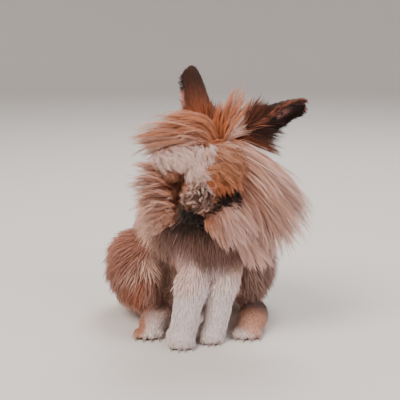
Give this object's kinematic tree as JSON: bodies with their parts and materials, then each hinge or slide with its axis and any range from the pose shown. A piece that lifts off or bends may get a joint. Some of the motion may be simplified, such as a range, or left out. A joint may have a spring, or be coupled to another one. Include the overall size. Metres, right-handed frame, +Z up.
{
  "type": "lionhead rabbit",
  "caption": "Life-size still model of a lionhead rabbit that sits upright with its head bowed, with a long mane and ruff, upright ears and patched orange and cream fur.",
  "frame": {"origin": "the point of the floor under the middle of the animal's box", "axes": "+Z up, -Y the way the animal faces, +X to the animal's own left"},
  "size_m": [0.2014, 0.2288, 0.273],
  "materials": {
    "coat_cream": "long soft cream fur",
    "coat_white": "short dense white fur",
    "coat_orange": "orange-brown fur",
    "coat_tan": "tan fur over a cream ground",
    "coat_sable": "short dark brown ear fur",
    "hide": "skin with short underfur",
    "ear_skin": "bare pink inner ear skin",
    "nose_skin": "moist hairless nose skin",
    "eye": "clear wet cornea over a dark brown iris",
    "claw": "smooth horn"
  },
  "bodies": {
    "root": {"head": "coat_orange", "muzzle": "coat_tan", "nose": "nose_skin", "eye_left": "eye", "eye_right": "eye", "ear_left": "coat_sable", "ear_right": "coat_sable", "neck": "coat_tan", "chest": "coat_white", "trunk": "coat_cream", "rump": "coat_cream", "thigh_left": "coat_orange", "thigh_right": "coat_orange", "foreleg_left": "coat_white", "foreleg_right": "coat_white", "forepaw_left": "coat_white", "forepaw_right": "coat_white", "hind_foot_left": "coat_white", "hind_foot_right": "coat_white", "tail": "coat_cream", "mane_left": "coat_cream", "mane_right": "coat_tan", "ruff_left": "coat_cream", "ruff_right": "coat_tan", "forelock": "coat_cream"}
  },
  "joints": []
}
